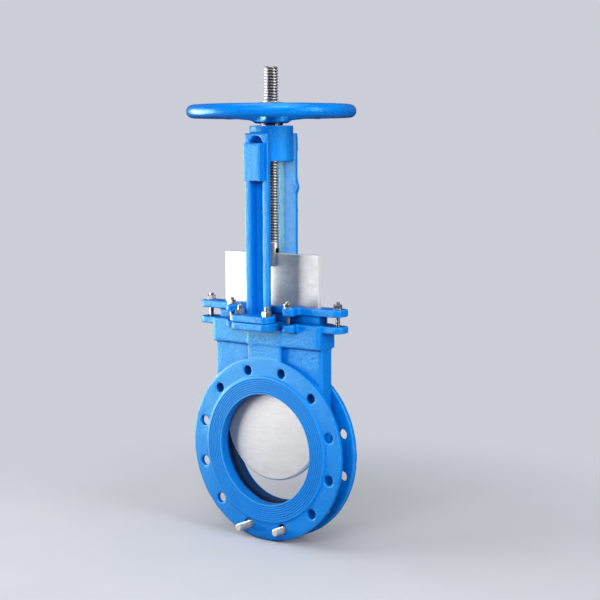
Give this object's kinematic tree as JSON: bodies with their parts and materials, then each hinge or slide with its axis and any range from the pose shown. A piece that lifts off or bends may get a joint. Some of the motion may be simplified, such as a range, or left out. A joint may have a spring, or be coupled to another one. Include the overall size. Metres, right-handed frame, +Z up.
{
  "type": "knife gate valve",
  "caption": "Rising-stem knife gate valve with a blue cast body between pipe flanges, a packed gland, a two-legged yoke and a spoked handwheel.",
  "frame": {"origin": "centre of the flow bore, on the middle plane of the gate", "axes": "+X right across the flow, +Y along the pipe away from the front face, +Z up along the stem"},
  "size_m": [0.4, 0.3612, 1.019],
  "materials": {
    "casting_paint": "blue enamel over sand-cast iron",
    "gate_steel": "ground stainless plate",
    "stem_steel": "turned stainless",
    "zinc_steel": "bright zinc plated",
    "dark_steel": "machined steel, oiled",
    "bronze": "machined bronze",
    "packing_braid": "braided square packing",
    "seat_rubber": "moulded rubber",
    "guide_plastic": "machined slide strip"
  },
  "bodies": {
    "body_and_yoke": {"valve_body": "casting_paint", "seat_ring": "seat_rubber", "gate_guides": "guide_plastic", "gate_scraper": "bronze", "packing_ring_1": "packing_braid", "packing_ring_2": "packing_braid", "packing_ring_3": "packing_braid", "packing_ring_4": "packing_braid", "packing_gland": "casting_paint", "gland_studs": "zinc_steel", "gland_washers": "zinc_steel", "gland_nuts": "zinc_steel", "yoke": "casting_paint", "yoke_studs": "zinc_steel", "yoke_nuts": "zinc_steel", "thrust_washer_lower": "bronze", "thrust_washer_upper": "bronze", "bearing_cap": "dark_steel", "cap_locking_screw": "dark_steel", "flange_rods": "zinc_steel"},
    "stem_and_gate": {"stem": "stem_steel", "stem_gate_pins": "stem_steel", "knife_gate": "gate_steel"},
    "handwheel": {"handwheel": "casting_paint", "handwheel_key": "stem_steel", "handwheel_nut": "zinc_steel", "handwheel_collar": "dark_steel", "stem_nut": "bronze"}
  },
  "joints": [
    {"name": "handwheel_turn", "type": "hinge", "parent": "body_and_yoke", "child": "handwheel", "pos_m": [0, 0, 0.725], "axis": [0, 0, 1], "range_deg": [-3239, 11579]},
    {"name": "gate_lift", "type": "slide", "parent": "body_and_yoke", "child": "stem_and_gate", "axis": [0, 0, 1], "range_m": [-0.054, 0.193]}
  ],
  "couplings": [
    {"joint": "gate_lift", "follows": "handwheel_turn", "m_per_rad": 0.00095493}
  ]
}
